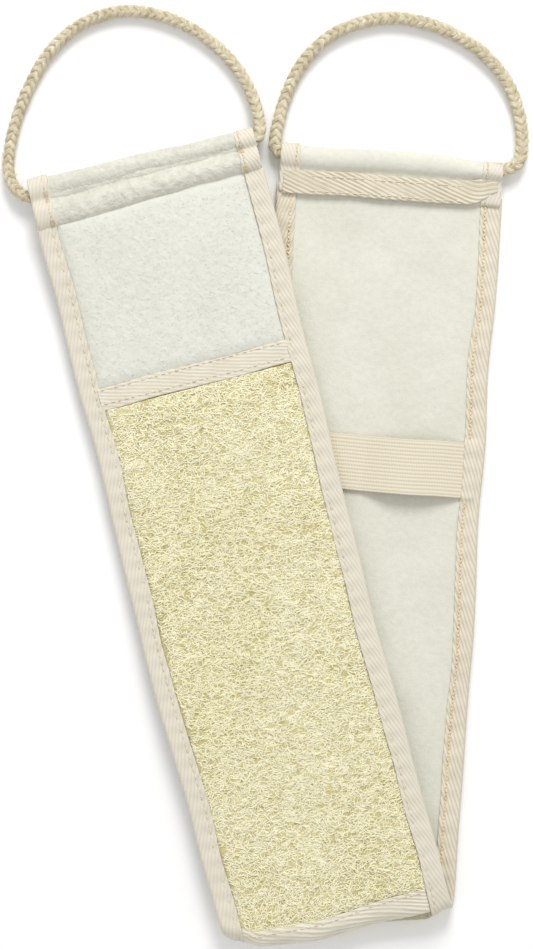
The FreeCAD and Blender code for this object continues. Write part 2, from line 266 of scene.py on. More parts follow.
# ---- materials ----
class Nodes:
    """A material under construction, with short calls for the nodes it needs."""

    def __init__(self, name, roughness, sheen=0.0):
        self.material = bpy.data.materials.new(name)
        self.material.use_nodes = True
        self.tree = self.material.node_tree
        self.shader = self.tree.nodes["Principled BSDF"]
        self.shader.inputs["Roughness"].default_value = roughness
        self.shader.inputs["Specular IOR Level"].default_value = 0.25
        self.shader.inputs["Sheen Weight"].default_value = sheen
        self.shader.inputs["Sheen Roughness"].default_value = 0.6

    def add(self, kind, **settings):
        node = self.tree.nodes.new(kind)
        for key, value in settings.items():
            setattr(node, key, value)
        return node

    def link(self, out, socket):
        self.tree.links.new(out, socket)

    def place(self):
        """Object coordinates, in metres."""
        return self.add("ShaderNodeTexCoord").outputs["Object"]

    def cloth(self):
        """The place on the cloth, in millimetres: two values."""
        split = self.add("ShaderNodeSeparateXYZ")
        self.link(self.add("ShaderNodeUVMap", uv_map="cloth").outputs["UV"], split.inputs["Vector"])
        return split.outputs["X"], split.outputs["Y"]

    def scaled(self, vector, scale):
        node = self.add("ShaderNodeMapping")
        node.inputs["Scale"].default_value = scale
        self.link(vector, node.inputs["Vector"])
        return node.outputs["Vector"]

    def noise(self, vector, scale, detail=2.0, roughness=0.5, distortion=0.0):
        node = self.add("ShaderNodeTexNoise")
        node.inputs["Scale"].default_value = scale
        node.inputs["Detail"].default_value = detail
        node.inputs["Roughness"].default_value = roughness
        node.inputs["Distortion"].default_value = distortion
        self.link(vector, node.inputs["Vector"])
        return node.outputs["Fac"]

    def cells(self, vector, scale):
        node = self.add("ShaderNodeTexVoronoi")
        node.inputs["Scale"].default_value = scale
        self.link(vector, node.inputs["Vector"])
        return node.outputs["Distance"]

    def maths(self, operation, first, second=0.0):
        node = self.add("ShaderNodeMath", operation=operation)
        for socket, value in zip(node.inputs, (first, second)):
            if isinstance(value, (int, float)):
                socket.default_value = value
            else:
                self.link(value, socket)
        return node.outputs["Value"]

    def sine(self, value, pitch):
        """A sine wave over a value, one turn in each pitch."""
        return self.maths("SINE", self.maths("MULTIPLY", value, 2 * math.pi / pitch))

    def raised(self, wave):
        """A sine wave moved to the range from 0 to 1."""
        return self.maths("ADD", self.maths("MULTIPLY", wave, 0.5), 0.5)

    def ramp(self, value, stops):
        node = self.add("ShaderNodeValToRGB")
        elements = node.color_ramp.elements
        while len(elements) < len(stops):
            elements.new(0.5)
        for element, (place, colour) in zip(elements, stops):
            element.position = place
            element.color = (*colour, 1.0)
        self.link(value, node.inputs["Fac"])
        return node.outputs["Color"]

    def mix(self, first, second, share):
        node = self.add("ShaderNodeMix", data_type="RGBA")
        sockets = [s for s in node.inputs if s.enabled]
        for socket, value in zip(sockets, (share, first, second)):
            if isinstance(value, (int, float)):
                socket.default_value = value
            elif isinstance(value, tuple):
                socket.default_value = (*value, 1.0)
            else:
                self.link(value, socket)
        return [s for s in node.outputs if s.enabled][0]

    def colour(self, value):
        self.link(value, self.shader.inputs["Base Color"])

    def bump(self, height, strength, distance):
        """distance is in millimetres. A second bump is laid over the first."""
        node = self.add("ShaderNodeBump")
        node.inputs["Strength"].default_value = strength
        node.inputs["Distance"].default_value = distance * MM
        self.link(height, node.inputs["Height"])
        before = self.shader.inputs["Normal"].links
        if before:
            self.link(before[0].from_socket, node.inputs["Normal"])
        self.link(node.outputs["Normal"], self.shader.inputs["Normal"])


def srgb(red, green, blue):
    """A colour seen as these 0 to 255 values, as the shader's linear ones."""
    return tuple((c / 255 / 12.92) if c <= 10 else ((c / 255 + 0.055) / 1.055) ** 2.4
                 for c in (red, green, blue))


def loofah_material(name, light, dark, olive, sheen=0.0):
    """Tangled dry fibre: straw with olive specks, and darker pockets where the darkening is painted shade
    in the hollows.
    """
    m = Nodes(name, 0.8, sheen)
    place = m.place()
    wavy = m.noise(m.scaled(place, (1, 1.5, 1)), 900, 5, 0.65, 1.2)
    patches = m.noise(place, 26, 3)
    specks = m.noise(place, 420, 2, 0.6)
    base = m.ramp(wavy, [(0.33, dark), (0.55, light)])
    base = m.mix(base, m.ramp(patches, [(0.38, dark), (0.58, light)]), 0.4)
    base = m.mix(base, olive, m.maths("MULTIPLY", m.maths("GREATER_THAN", specks, 0.62), 0.45))
    m.colour(base)
    m.bump(wavy, 0.7, 0.5)
    return m.material


def pile_material(name, light, dark, scale, strength):
    """Terry or brushed cloth: a mottled pile of tiny loops."""
    m = Nodes(name, 0.95, 0.25)
    place = m.place()
    loops = m.cells(place, scale)
    clumps = m.noise(place, scale * 0.3, 4, 0.65)
    patches = m.noise(place, 40, 3)
    base = m.ramp(clumps, [(0.3, dark), (0.62, light)])
    base = m.mix(base, m.ramp(patches, [(0.3, dark), (0.65, light)]), 0.4)
    m.colour(base)
    m.bump(clumps, strength, 0.7)
    m.bump(loops, strength * 0.6, 0.3)
    return m.material


def twill_material(name, light, dark, pitch=TAPE_PITCH, slant=20.0, strength=0.6):
    """Twill tape: slanted ribs of cotton yarn. The cloth's second coordinate runs along the tape."""
    m = Nodes(name, 0.9, 0.15)
    x, y = m.cloth()
    angle = math.radians(slant)
    ribs = m.maths("ADD", m.maths("MULTIPLY", x, math.cos(angle) * 2 * math.pi / pitch),
                   m.maths("MULTIPLY", y, math.sin(angle) * 2 * math.pi / pitch))
    wobble = m.maths("MULTIPLY", m.noise(m.place(), 300, 2), 1.4)
    wave = m.raised(m.maths("SINE", m.maths("ADD", ribs, wobble)))
    weave = m.maths("ADD", wave, m.maths("MULTIPLY", m.sine(y, 0.62), 0.12))
    patches = m.noise(m.place(), 90, 3)
    base = m.mix(m.ramp(wave, [(0.05, dark), (0.5, light)]),
                 m.ramp(patches, [(0.3, dark), (0.6, light)]), 0.3)
    m.colour(base)
    m.bump(weave, strength, 0.35)
    return m.material


def webbing_material(name, light, dark):
    """Elastic webbing: fine threads across its raised ribs."""
    m = Nodes(name, 0.75, 0.1)
    x, y = m.cloth()
    shade = m.maths("ADD", m.maths("MULTIPLY", m.sine(y, ELASTIC_PITCH), 0.35), 0.5)
    m.colour(m.mix(m.ramp(shade, [(0.15, dark), (0.6, light)]), light, 0.25))
    m.bump(m.sine(x, 0.8), 0.35, 0.15)
    return m.material


def rope_material(name, light, dark):
    """Cotton yarns laid along each strand, with the twist of the yarns showing."""
    m = Nodes(name, 0.85, 0.15)
    x, y = m.cloth()
    twist = m.maths("ADD", m.maths("MULTIPLY", x, 6 * 2 * math.pi),
                    m.maths("MULTIPLY", y, 2 * math.pi / 3.2))
    yarn = m.raised(m.maths("SINE", twist))
    mottle = m.noise(m.place(), 260, 3)
    base = m.mix(m.ramp(yarn, [(0.0, dark), (0.7, light)]),
                 m.ramp(mottle, [(0.35, dark), (0.6, light)]), 0.4)
    m.colour(base)
    m.bump(yarn, 0.6, 0.25)
    return m.material


# The base's dark olive colours are partly the loofah's own tone and partly painted shade of the gaps
# between the fibres lying over it.
LOOFAH = loofah_material("loofah_base_and_gap_shade", srgb(218, 208, 158), srgb(180, 170, 110), srgb(142, 128, 74))
# Painted shade: the loofah's colours darkened for the rear pad's end, which turns under at the fold and
# lies in shade.
SHADED_LOOFAH = loofah_material("loofah_painted_shade", srgb(192, 184, 156), srgb(156, 148, 120), srgb(134, 124, 96))
FIBRE = loofah_material("loofah_fibre", srgb(255, 250, 214), srgb(252, 244, 196), srgb(238, 226, 164), 0.7)
TERRY = pile_material("terry_pile", srgb(223, 223, 213), srgb(212, 212, 200), 900, 0.45)
HEM_TERRY = pile_material("hem_terry", srgb(221, 220, 207), srgb(194, 192, 177), 1000, 0.9)
BRUSHED = pile_material("brushed_cotton", srgb(222, 221, 208), srgb(211, 209, 194), 1400, 0.35)
TWILL = twill_material("twill_tape", srgb(232, 226, 209), srgb(208, 198, 176), slant=16.0)
HEM_TWILL = twill_material("hem_twill", srgb(223, 215, 195), srgb(187, 175, 149), slant=-22.0, pitch=1.9)
BINDING = twill_material("twill_binding", srgb(224, 217, 200), srgb(211, 204, 186), strength=0.45)
REAR_BINDING = twill_material("rear_binding", srgb(227, 219, 200), srgb(200, 190, 168), strength=0.6)
WEBBING = webbing_material("elastic_webbing", srgb(225, 216, 195), srgb(213, 203, 180))
ROPE = rope_material("cotton_rope", srgb(252, 243, 214), srgb(188, 170, 130))
THREAD = rope_material("sewing_thread", srgb(226, 216, 193), srgb(210, 199, 173))
CHAIN = rope_material("chain_thread", srgb(232, 214, 180), srgb(205, 180, 138))
TACK = rope_material("bar_tack_thread", srgb(222, 206, 178), srgb(186, 168, 136))


# ---- how pieces follow the fold ----
def follow(piece, side, layer=None):
    """Ties a piece to its half. layer is its height if it runs on round
    the bend: such a piece only has its placement baked into its points, and is not tied to a half."""
    half = "front_half" if side > 0 else "rear_half"
    if layer is None:
        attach(piece, half)
        return piece
    if side > 0:
        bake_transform(piece)
    else:
        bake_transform(piece)
    return piece


def fold_start(across):
    """Where the strap's cross line meets the fold line, which ends every piece of a half."""
    return FOLD_SHIFT - across * math.tan(SPLAY)


def spread(side, start, end, step):
    """Steps along a half, finer round the bend. start may be one number for each place across."""
    start = np.atleast_1d(np.asarray(start, float))
    near = np.linspace(0, 1, 16)[:-1]
    far = np.linspace(0, 1, int(abs(end) / step))
    bend = side * 18.0
    return np.concatenate([start[None] + (bend - start[None]) * near[:, None],
                           bend + (side * abs(end) - bend) * far[:, None] + 0 * start[None]])


# ---- pads and tapes ----
def centre_tape_edge(across):
    """Where the centre tape's front edge lies along the strap. It is sewn on a little askew."""
    return CENTRE_TAPE / 2 + 5.6 * smooth((22 - np.asarray(across, float)) / 70)


def depth_in_pad(along, across, from_seam):
    """A place's distance from its pad's nearest rim, counted from a little under the tapes."""
    from_side = half_width(along) - LIP - np.abs(across)
    return np.maximum(np.minimum(from_side, from_seam) + 0.4, 0)


def loofah_surface(along, across):
    """The height of a loofah pad's face: crowned in the middle, sunk at its seams, rippled across."""
    near = np.where(along > 0, centre_tape_edge(across), CENTRE_TAPE / 2)
    from_seam = np.minimum(np.abs(along) - near, CROSS_TAPE_AT - CROSS_TAPE / 2 - np.abs(along))
    down = depth_in_pad(along, across, from_seam)
    full = 1 - np.exp(-down / 1.9)
    ripple = 0.25 * noise(along, across * 0.28, 3.1, 11) + 0.2 * noise(along, across, 2.0, 12) - 0.25
    swell = 0.32 * noise(along, across, 17.0, 13) + 0.2 * noise(along, across * 0.5, 7.0, 14)
    return SEAM_TOP + (LOOFAH_TOP - 0.2 - SEAM_TOP) * full + (ripple + swell) * smooth(down / 4)


def terry_surface(along, across):
    """The height of a terry pad's face: plump, with its pile in small clumps."""
    from_seam = np.minimum(np.abs(along) - CROSS_TAPE_AT - CROSS_TAPE / 2, HEM_START + 2.2 - np.abs(along))
    down = depth_in_pad(along, across, from_seam)
    full = 1 - np.exp(-down / 2.6)
    clumps = 0.14 * noise(along, across, 1.3, 15) + 0.09 * noise(along, across, 3.3, 16)
    swell = 0.35 * noise(along, across, 21.0, 17)
    return SEAM_TOP + (TERRY_TOP - SEAM_TOP) * full + (clumps + swell) * smooth(down / 5)


def rim_of_grid(rows, columns):
    """The numbers of a grid's outer points, in order round it."""
    right = np.arange(1, rows) * columns + columns - 1
    far = (rows - 1) * columns + np.arange(columns - 2, -1, -1)
    left = np.arange(rows - 2, 0, -1) * columns
    return np.concatenate([np.arange(columns), right, far, left])


def pad(name, side, first, last, surface, step, material, layer=None, low=-1):
    """A sewn pad between two cross lines, which may each be a number or a function of the place across.
    It covers its width from the share low to its right side."""
    reach = FOLD_HALF_WIDTH - LIP + 1.5
    columns = max(int(reach * (1 - low) / step), 6)
    share = np.linspace(low, 1, columns)
    level = lambda line: line(share * reach) if callable(line) else np.full(columns, float(line))
    start, end = level(first), level(last)
    if abs(end - start).max() < 40:
        rows = max(int(abs(end - start).max() / step), 6)
        along = start + (end - start) * np.linspace(0, 1, rows)[:, None]
    else:
        along = spread(side, start, end[0], step)
    across = share[None] * (half_width(along) - LIP + 1.5)
    height = surface(along, across)
    upper, lower = strap(along, across, height), strap(along, across, 0.2)
    rows, columns = along.shape
    count = rows * columns
    ring = rim_of_grid(rows, columns)
    after = np.roll(ring, -1)
    wall = np.stack([ring, ring + count, after + count, after], -1)
    face = grid_faces(rows, columns)
    cloth = pairs(across, along)
    made = make_mesh(name, np.stack([upper, lower]), np.concatenate([face, face[:, ::-1] + count, wall]),
                     np.stack([cloth, cloth]), material)
    return follow(made, side, layer)


def scattered(side, count, start, end, seed, reach):
    """Random places on a pad, as (along, across), at least reach in from the strap's edges."""
    random = np.random.default_rng(seed)
    along = side * random.uniform(start, end, count)
    across = random.uniform(-1, 1, count) * (half_width(along) - reach)
    return along, across


def fibres(name, side, count, seed):
    """Curly loofah fibres, lying mostly across the strap and half sunk in the pad."""
    start, end = CENTRE_TAPE / 2, CROSS_TAPE_AT - CROSS_TAPE / 2
    random = np.random.default_rng(seed)
    along, across = scattered(side, count, start, end, seed + 1, LIP + 0.3)
    clear_of_fold = side * away_of(along, across) > 5.0
    along, across = along[clear_of_fold, None], across[clear_of_fold, None]
    each = along.shape
    steps = 5
    length = random.uniform(2.0, 6.0, each)
    heading = np.where(random.uniform(0, 1, each) < 0.55, random.normal(0.0, 0.5, each),
                       random.uniform(-1.6, 1.6, each))
    curl = random.normal(0, 0.3, each)
    share = np.linspace(-0.5, 0.5, steps)
    turn = heading + curl * share * length + 0.35 * np.sin(share * 9 + random.uniform(0, 6, each))
    moves = np.stack([np.cos(turn), np.sin(turn)]) * length / (steps - 1)
    x, y = np.stack([across, along]) + np.cumsum(moves, 2) - moves.sum(2, keepdims=True) / 2
    limit = half_width(y) - LIP + 0.3
    x = np.clip(x, -limit, limit)
    near = centre_tape_edge(x) if side > 0 else start
    y = side * np.clip(side * y, near + 0.3, end - 0.4)
    arch = random.uniform(0.1, 0.6, each) * (1 - (2 * share) ** 2)
    ripple = 0.15 * np.sin(share * 14 + random.uniform(0, 6, each))
    centres = strap(y, x, loofah_surface(y, x) + arch - 0.12 + ripple)
    radius = random.uniform(0.18, 0.34, each) * MM
    points, faces = tubes(centres, (radius, 0.55 * radius), 4, np.array([0.0, 0.0, side]))
    return follow(make_mesh(name, points, faces, None, FIBRE), side, LOOFAH_TOP)


def loops(name, side, count, seed):
    """Small loops of terry pile, standing up from the pad."""
    length, radius = 1.7, 0.24
    random = np.random.default_rng(seed)
    along, across = scattered(side, count, TERRY_START, HEM_START, seed + 1, LIP + 0.8)
    each = (count, 1)
    share = np.linspace(0, 1, 5)
    heading = random.uniform(0, 2 * math.pi, each)
    wide = random.uniform(0.4, 1.0, each) * length * 0.6
    high = random.uniform(0.5, 1.0, each) * 0.28
    x = across[:, None] + np.cos(heading) * wide * (share - 0.5) * 2
    y = along[:, None] + np.sin(heading) * wide * (share - 0.5) * 2
    height = terry_surface(y, x) - 0.25 + high * np.sin(share * math.pi)
    centres = strap(y, x, height)
    upright = np.stack([-np.sin(heading), np.cos(heading), 0 * heading], -1)
    points, faces = tubes(centres, random.uniform(0.75, 1.2, each) * radius * MM, 3, upright)
    return follow(make_mesh(name, points, faces, None, TERRY), side)


def swept(name, along, across, height, cloth, material):
    """A closed section, one row of each array, carried along the strap, with its ends drawn shut."""
    points = strap(along, across, height)
    first = np.broadcast_to(points[:1].mean(1, keepdims=True), points[:1].shape)
    last = np.broadcast_to(points[-1:].mean(1, keepdims=True), points[-1:].shape)
    points = np.concatenate([first, points, last])
    cloth = np.concatenate([cloth[:1], cloth, cloth[-1:]])
    return make_mesh(name, points, grid_faces(*points.shape[:2], wrap_columns=True), cloth, material)


def ribs(along, place, seed, slant=20.0):
    """The height, from -1 to 1, of twill ribs that slant across a tape."""
    angle = math.radians(slant)
    phase = (place * math.cos(angle) + along * math.sin(angle)) * 2 * math.pi / TAPE_PITCH
    return np.sin(phase + 0.9 * noise(along, place, 3.0, seed))


def rounded_section(inner, outer, low, high, bevel, step=0.45):
    """A flat bar's section with rounded edges, as (distance in, height), starting on its upper side."""
    count = max(int(abs(outer - inner) / step), 4)
    arc = np.linspace(0, math.pi, 7)[1:-1]
    middle, half = (low + high) / 2, (high - low) / 2
    bevel = min(bevel, half)
    upper = np.linspace(inner + bevel, outer - bevel, count)
    right = [(outer - bevel + math.sin(a) * bevel, middle + half * math.cos(a)) for a in arc]
    left = [(inner + bevel - math.sin(a) * bevel, middle - half * math.cos(a)) for a in arc]
    return np.array([(x, high) for x in upper] + right + [(x, low) for x in upper[::-1]] + left)


def distance_round(section):
    """Each point's distance round a closed section, from its first point."""
    steps = np.hypot(*np.diff(section, axis=0, append=section[:1]).T)
    return np.concatenate([[0], np.cumsum(steps)[:-1]])


def edge_across(along, side, edge, inset):
    """The place across of a line along an edge binding, which wanders as hand-guided sewing does."""
    wander = 0.5 * noise(along, 0, 22.0, 41 + side + edge) * smooth(inset / 4)
    width = half_width(along) + 0.5 * noise(along, 0, 35.0, 61 + side + edge)
    return edge * (width - inset - wander)


def binding(name, side, edge, material, relief):
    """Twill tape folded over one edge, from the fold line to the hem."""
    face_high, back_low = 2.0, BACK - TAPE
    face = [(x, face_high) for x in np.linspace(LIP, 1.6, 20)]
    middle, half = (face_high + back_low) / 2, (face_high - back_low) / 2
    round_edge = [(1.6 - 1.6 * math.sin(angle) ** 0.6, middle + half * math.cos(angle))
                  for angle in np.linspace(0.15, 0.85, 9) * math.pi]
    back = [(x, back_low) for x in np.linspace(1.6, LIP, 20)]
    inside = [(x, BACK + 0.02) for x in np.linspace(LIP, 2.4, 5)]
    inside += [(x, 1.1) for x in np.linspace(2.4, LIP, 5)]
    section = np.array(face + round_edge + back + inside)
    inset, height = section.T
    outer = np.arange(len(section)) < len(section) - len(inside)
    place = distance_round(section)
    start = fold_start(edge * (FOLD_HALF_WIDTH - inset))
    along = spread(side, start, HEM_START + 3.4, 0.9)
    lift = np.where(outer, ribs(along, place[None], 5 + side) * relief, 0)
    pucker = 0.22 * np.sin(along * 2 * math.pi / 8.3 + edge) * np.where(outer, smooth(inset / 6), 0)
    pucker = pucker + 0.3 * noise(along, place[None] * 0, 14.0, 21 + side + 3 * edge) * outer
    sign = np.where(height > -1, 1, -1)
    press = -0.15 * np.exp(-((inset - STITCH_INSET) / 0.7) ** 2) * outer
    across = edge_across(along, side, edge, inset)
    over_elastic = 1.4 * smooth((ELASTIC_WIDTH / 2 + 2.5 - np.abs(along - ELASTIC_AT)) / 3.0) * (sign < 0)
    over_elastic = over_elastic * smooth((inset - 2.0) / 3.0) * outer
    tall = height + sign * (lift * 0.5 + pucker + press + over_elastic)
    across = across + edge * np.where((inset < 1.2) & outer, lift, 0)
    made = swept(name, along, across, tall, pairs(place, along), material)
    return follow(made, side, 0.0)


def cross_band(name, side, at, width, low, high, reach, material, relief, seed, slant, turned=0.0):
    """A tape sewn across the strap. Its right end may be turned up along the strap."""
    section = rounded_section(-width / 2, width / 2, low, high, 0.5)
    place = distance_round(section)
    limit = float(half_width(side * at)) - reach
    across = np.linspace(-limit, limit, int(2 * limit / 0.6))[:, None]
    wander = 0.45 * noise(across, 0, 20.0, seed)
    along = side * (at + section[None, :, 0] + wander + turned * smooth((across - 34) / 20) ** 2)
    upper = section[:, 1] > (low + high) / 2 if low > 0 else section[:, 1] < (low + high) / 2
    lift = np.where(upper, ribs(across, place[None], seed, slant) * relief, 0)
    tall = section[None, :, 1] + lift + 0.2 * noise(across, section[None, :, 0], 9.0, seed + 1)
    made = swept(name, along, across, tall, pairs(place, across), material)
    return follow(made, side)


def centre_tape(name, side):
    """The tape over the pads' meeting ends, on one side of the fold line. Its ends meet the fold line at
    a slant, as the strap does."""
    limit = FOLD_HALF_WIDTH - LIP - 0.3
    across = np.linspace(-limit, limit, 170)[:, None]
    fold = fold_start(across)
    half = CENTRE_TAPE / 2
    front = centre_tape_edge(across)
    first = np.clip(fold, -half, front) if side > 0 else np.full_like(across, -half)
    last = front if side > 0 else np.clip(fold, -half, front)
    section = rounded_section(-1.0, 1.0, 1.2, 2.0, 0.1, 0.09)
    share = (section[None, :, 0] + 1) / 2
    along = first + (last - first) * share
    wide = (last - first)[:, 0] > 0.3
    along, across = along[wide], np.broadcast_to(across, along.shape)[wide]
    upper = section[:, 1] > 1.6
    tall = section[None, :, 1] + np.where(upper, ribs(across, along, 7) * 0.1, 0)
    made = swept(name, along, across, tall, pairs(along, across), TWILL)
    return follow(made, side, 1.2)


# ---- ropes ----
def centreline(name, route):
    """A rope's centre line: its NURBS route, as points in metres about half a millimetre apart."""
    curve = bpy.data.curves.new(name, "CURVE")
    curve.dimensions = "3D"
    curve.resolution_u = 16
    spline = curve.splines.new("NURBS")
    spline.points.add(len(route) - 1)
    for point, place in zip(spline.points, route):
        point.co = (*[value * MM for value in place], 1.0)
    spline.order_u = 3
    spline.use_endpoint_u = True
    line = bpy.data.objects.new(name, curve)
    mesh = bpy.data.meshes.new_from_object(line)
    points = np.array([vertex.co[:] for vertex in mesh.vertices])
    bpy.data.objects.remove(line)
    run = np.concatenate([[0], np.cumsum(np.linalg.norm(np.diff(points, axis=0), axis=1))])
    even = np.linspace(0, run[-1], int(run[-1] / (0.55 * MM)))
    return np.stack([np.interp(even, run, points[:, k]) for k in range(3)], 1), run[-1]


def softened(path):
    """The path with its small corners averaged away."""
    kernel = np.hanning(13) / np.hanning(13).sum()
    padded = np.concatenate([np.repeat(path[:1], 6, 0), path, np.repeat(path[-1:], 6, 0)])
    return np.stack([np.convolve(padded[:, k], kernel, "valid") for k in range(3)], 1)


def strand_rings(path, side, up, along, lay, hand, number, plies, girth):
    """The rings of one strand, which weaves in and out as it winds round the rope."""
    phi = np.arange(ROPE_SIDES) / ROPE_SIDES * 2 * math.pi
    angle = hand * lay + number * math.pi / 2
    weave = 0.55 * hand * np.sin(2 * angle) + 0.1 * noise(along, number * 9 + hand, 6.0, 8)
    outward = np.cos(angle)[:, None] * side + np.sin(angle)[:, None] * up
    centre = path + outward * (girth * (1.98 + weave))[:, None] * MM
    beside = unit(np.cross(unit(np.gradient(centre, axis=0)), outward))
    wide = (1.44 + 0.12 * noise(along, number * 7 + hand * 3, 5.0, 9))[:, None]
    swell = girth * (0.92 + 0.10 * plies)
    ring = (beside[:, None] * (np.cos(phi) * swell * wide)[..., None]
            + outward[:, None] * (np.sin(phi) * swell * 1.02)[..., None]) * MM
    return centre[:, None] + ring


def rope(name, route, body, replaced, girth):
    """Eight cotton strands plaited into columns of V's, with loose fibres standing off them."""
    path, length = centreline(name + "_route", route)
    path = softened(path)
    tangent = unit(np.gradient(path, axis=0))
    side = unit(np.cross(tangent, [0.0, 0.0, 1.0]))
    up = np.cross(side, tangent)
    along = np.linspace(0, length / MM, len(path))
    braid = BRAID * (1 + 0.05 * noise(along, 0, 30.0, 5))
    lay = np.concatenate([[0], np.cumsum(np.diff(along) / braid[1:])]) * 2 * math.pi + 0.8
    phi = np.arange(ROPE_SIDES) / ROPE_SIDES * 2 * math.pi
    plies = 0.5 + 0.5 * np.cos(5 * phi[None] + along[:, None] * 2 * math.pi / 17.0)
    points = [strand_rings(path, side, up, along, lay, hand, number, plies, girth)
              for hand in (1, -1) for number in range(4)]
    one = grid_faces(len(path), ROPE_SIDES, wrap_columns=True)
    faces = [one + number * len(path) * ROPE_SIDES for number in range(8)]
    cloth = [pairs(plies, along[:, None])] * 8
    made = make_mesh(name, points, faces, cloth, ROPE)
    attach(made, body)
    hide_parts(replaced)
    fuzz = rope_fuzz(name + "_fuzz", path, side, up, tangent)
    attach(fuzz, body)


def rope_fuzz(name, path, side, up, tangent):
    """Short loose fibres of a rope's cotton."""
    random = np.random.default_rng(len(path))
    count = 1500
    at = random.integers(20, len(path) - 20, count)
    each = (count, 1, 1)
    angle = random.uniform(0, 2 * math.pi, each)
    forward = tangent[at][:, None]
    outward = np.cos(angle) * side[at][:, None] + np.sin(angle) * up[at][:, None]
    around = np.cross(forward, outward)
    lean = forward * random.normal(0, 1.2, each) + around * random.normal(0, 1.0, each)
    share = np.linspace(0, 1, 5)[:, None]
    length = random.uniform(0.8, 2.1, each)
    curl = np.sin(share * 3) * random.normal(0, 0.35, each)
    stray = outward * (2.8 + 0.45 * length * share) + lean * share * length * 0.8 + around * curl
    centres = path[at][:, None] + stray * MM
    centres[..., 2] = np.maximum(centres[..., 2], 0.1 * MM)
    points, faces = tubes(centres, 0.045 * MM, 3, outward)
    return make_mesh(name, points, faces, np.full((len(points), 2), 0.9), ROPE)


# ---- stitches ----
def stitch_line(along, across, height, lift_side):
    """Tube centres for one stitch each: it rises from its hole, lies along the cloth and dives again.
    along and across hold each stitch's two ends, as (stitches, 2)."""
    share = np.linspace(0, 1, 7)
    rise = np.array([-0.7, -0.1, 0.1, 0.13, 0.1, -0.1, -0.7])
    y = along[:, :1] + (along[:, 1:] - along[:, :1]) * share
    x = across[:, :1] + (across[:, 1:] - across[:, :1]) * share
    return strap(y, x, height + lift_side * rise)


def stitch_ends(first, last, pitch, length):
    """Where the stitches of a row start and end, as (stitches, 2)."""
    starts = np.arange(first, last - pitch, pitch)
    return np.stack([starts, starts + length], 1)


def chain_stitches(name, side, edge):
    """The thick chain of thread along an edge binding's inner side, on the back: short stitches leaning
    to alternate sides."""
    pitch, reach = 1.9, 0.75
    first = side * fold_start(edge * (FOLD_HALF_WIDTH - STITCH_INSET)) + 2.0
    ends = side * stitch_ends(first, HEM_START, pitch, pitch * 1.1)
    lean = np.where(np.arange(len(ends)) % 2, reach, -reach)[:, None] * np.array([1.0, -1.0])
    across = edge_across(ends, side, edge, STITCH_INSET) + edge * lean
    centres = stitch_line(ends, across, BACK - TAPE - 0.1, -1)
    return stitched(name, [centres], side, 0.0, 0.34, CHAIN)


def edge_stitches(name, side, edge):
    """The lockstitch that holds an edge binding, on the face."""
    first = side * fold_start(edge * (FOLD_HALF_WIDTH - STITCH_INSET)) + 1.0
    ends = side * stitch_ends(first, HEM_START, STITCH_PITCH, STITCH_PITCH - 0.6)
    across = edge_across(ends, side, edge, STITCH_INSET)
    return stitched(name, [stitch_line(ends, across, 1.9, 1)], side, 0.0)


def stitched(name, centres, side, layer=None, radius=STITCH_RADIUS, material=THREAD):
    """One mesh of stitches, tied to its half when no layer is given."""
    centres = np.concatenate(centres)
    points, faces = tubes(centres, (radius * 1.15 * MM, radius * MM), 6, np.array([0.0, 0.0, 1.0]))
    made = make_mesh(name, points, faces, np.full((len(points), 2), 0.7), material)
    return follow(made, side, layer)


def centre_stitches(name):
    """The lockstitch along the centre tape's front edge."""
    limit = FOLD_HALF_WIDTH - LIP - 1.0
    ends = stitch_ends(-limit, limit, STITCH_PITCH, STITCH_PITCH - 0.7)
    along = centre_tape_edge(ends) - 1.5
    return stitched(name, [stitch_line(along, ends, 2.1, 1)], 1, 1.2)


def cross_stitches(name, side, ats, level, face, reach):
    """Lines of lockstitch across the strap."""
    centres = []
    for at in ats:
        limit = float(half_width(side * at)) - reach
        ends = stitch_ends(-limit, limit, STITCH_PITCH, STITCH_PITCH - 0.8)
        along = side * (at + 0.3 * noise(ends, 0, 20.0, int(at)))
        centres.append(stitch_line(along, ends, level, face))
    return stitched(name, centres, side)


# ---- backing, hems, elastic ----
def backing(name, side):
    """The brushed cotton back, gently rumpled between its seams."""
    section = rounded_section(-FOLD_HALF_WIDTH + 2, FOLD_HALF_WIDTH - 2, BACK, -2.0, 0.4, 1.2)
    start = fold_start(section[:, 0])
    along = spread(side, start, TUNNEL_AT - 6, 1.2)
    across = section[None, :, 0] * half_width(along) / FOLD_HALF_WIDTH
    lower = section[:, 1] < -2.5
    inner = smooth((half_width(along) - LIP - np.abs(across)) / 5) * smooth(np.abs(along) / 25)
    rumple = 0.5 * noise(along, across, 24.0, 31) + 0.22 * noise(along, across, 9.0, 32)
    nap = 0.05 * noise(along, across, 2.4, 33)
    tall = section[None, :, 1] - np.where(lower, (rumple + nap - 0.25) * inner, 0)
    made = swept(name, along, across, tall, pairs(across, along), BRUSHED)
    return follow(made, side, BACK)


